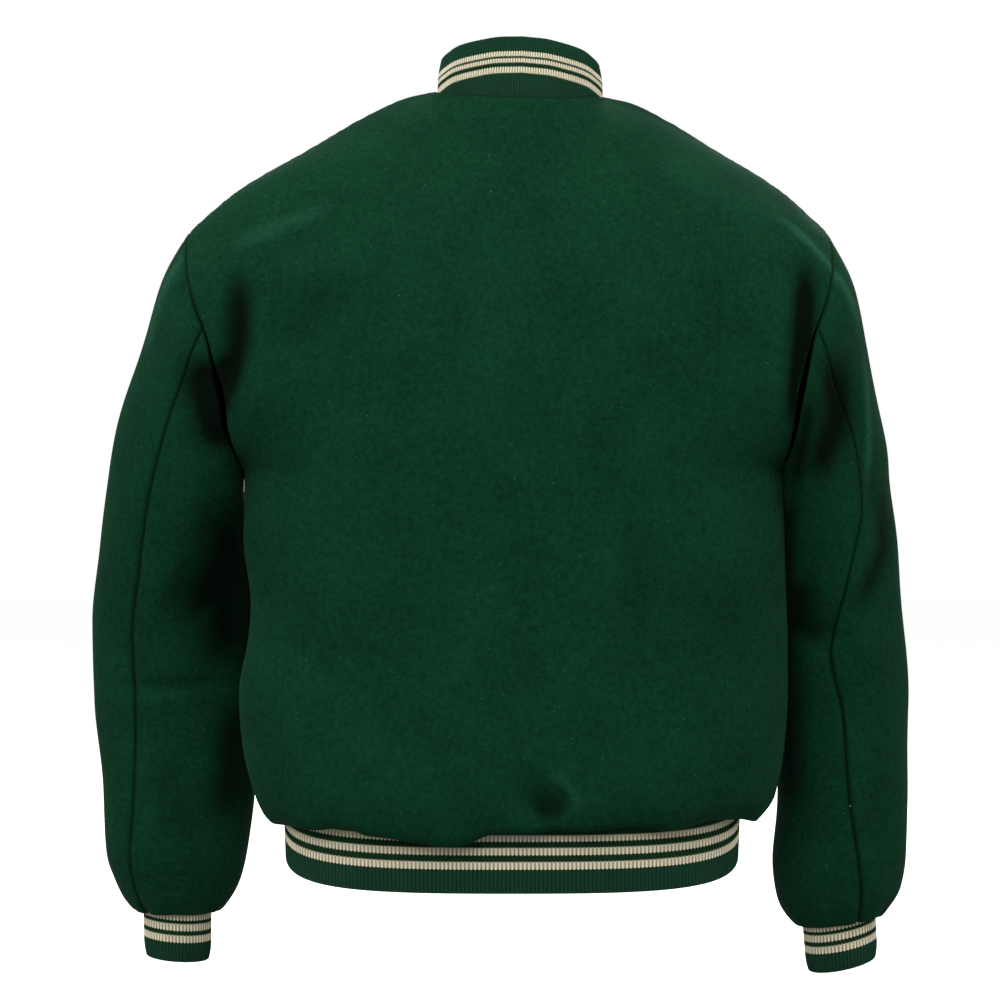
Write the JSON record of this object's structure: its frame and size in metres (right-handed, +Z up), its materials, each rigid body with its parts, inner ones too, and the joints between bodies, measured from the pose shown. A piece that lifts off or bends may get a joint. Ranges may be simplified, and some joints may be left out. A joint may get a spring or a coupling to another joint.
{
  "type": "varsity jacket",
  "caption": "Wool varsity jacket with rib-knit collar, cuffs and waistband, snap front, filled out as worn.",
  "frame": {"origin": "middle of the body at the height of the shoulder's neck points, where the wearer carries it", "axes": "+Z up along the body, -Y out of the front, +X to the wearer's left"},
  "size_m": [0.698, 0.2542, 0.7863],
  "materials": {
    "wool": "napped melton wool, matt",
    "rib": "rib knit with cream stripes, matt",
    "snap": "enamelled snap caps, satin"
  },
  "bodies": {
    "root": {"back": "wool", "front_left": "wool", "front_right": "wool", "sleeve_upper_left": "wool", "sleeve_upper_right": "wool", "sleeve_under_left": "wool", "sleeve_under_right": "wool", "collar_rib": "rib", "waistband_rib": "rib", "cuff_left": "rib", "cuff_right": "rib", "snap_1": "snap", "snap_2": "snap", "snap_3": "snap", "snap_4": "snap", "snap_5": "snap", "snap_6": "snap", "snap_7": "snap"}
  },
  "joints": []
}
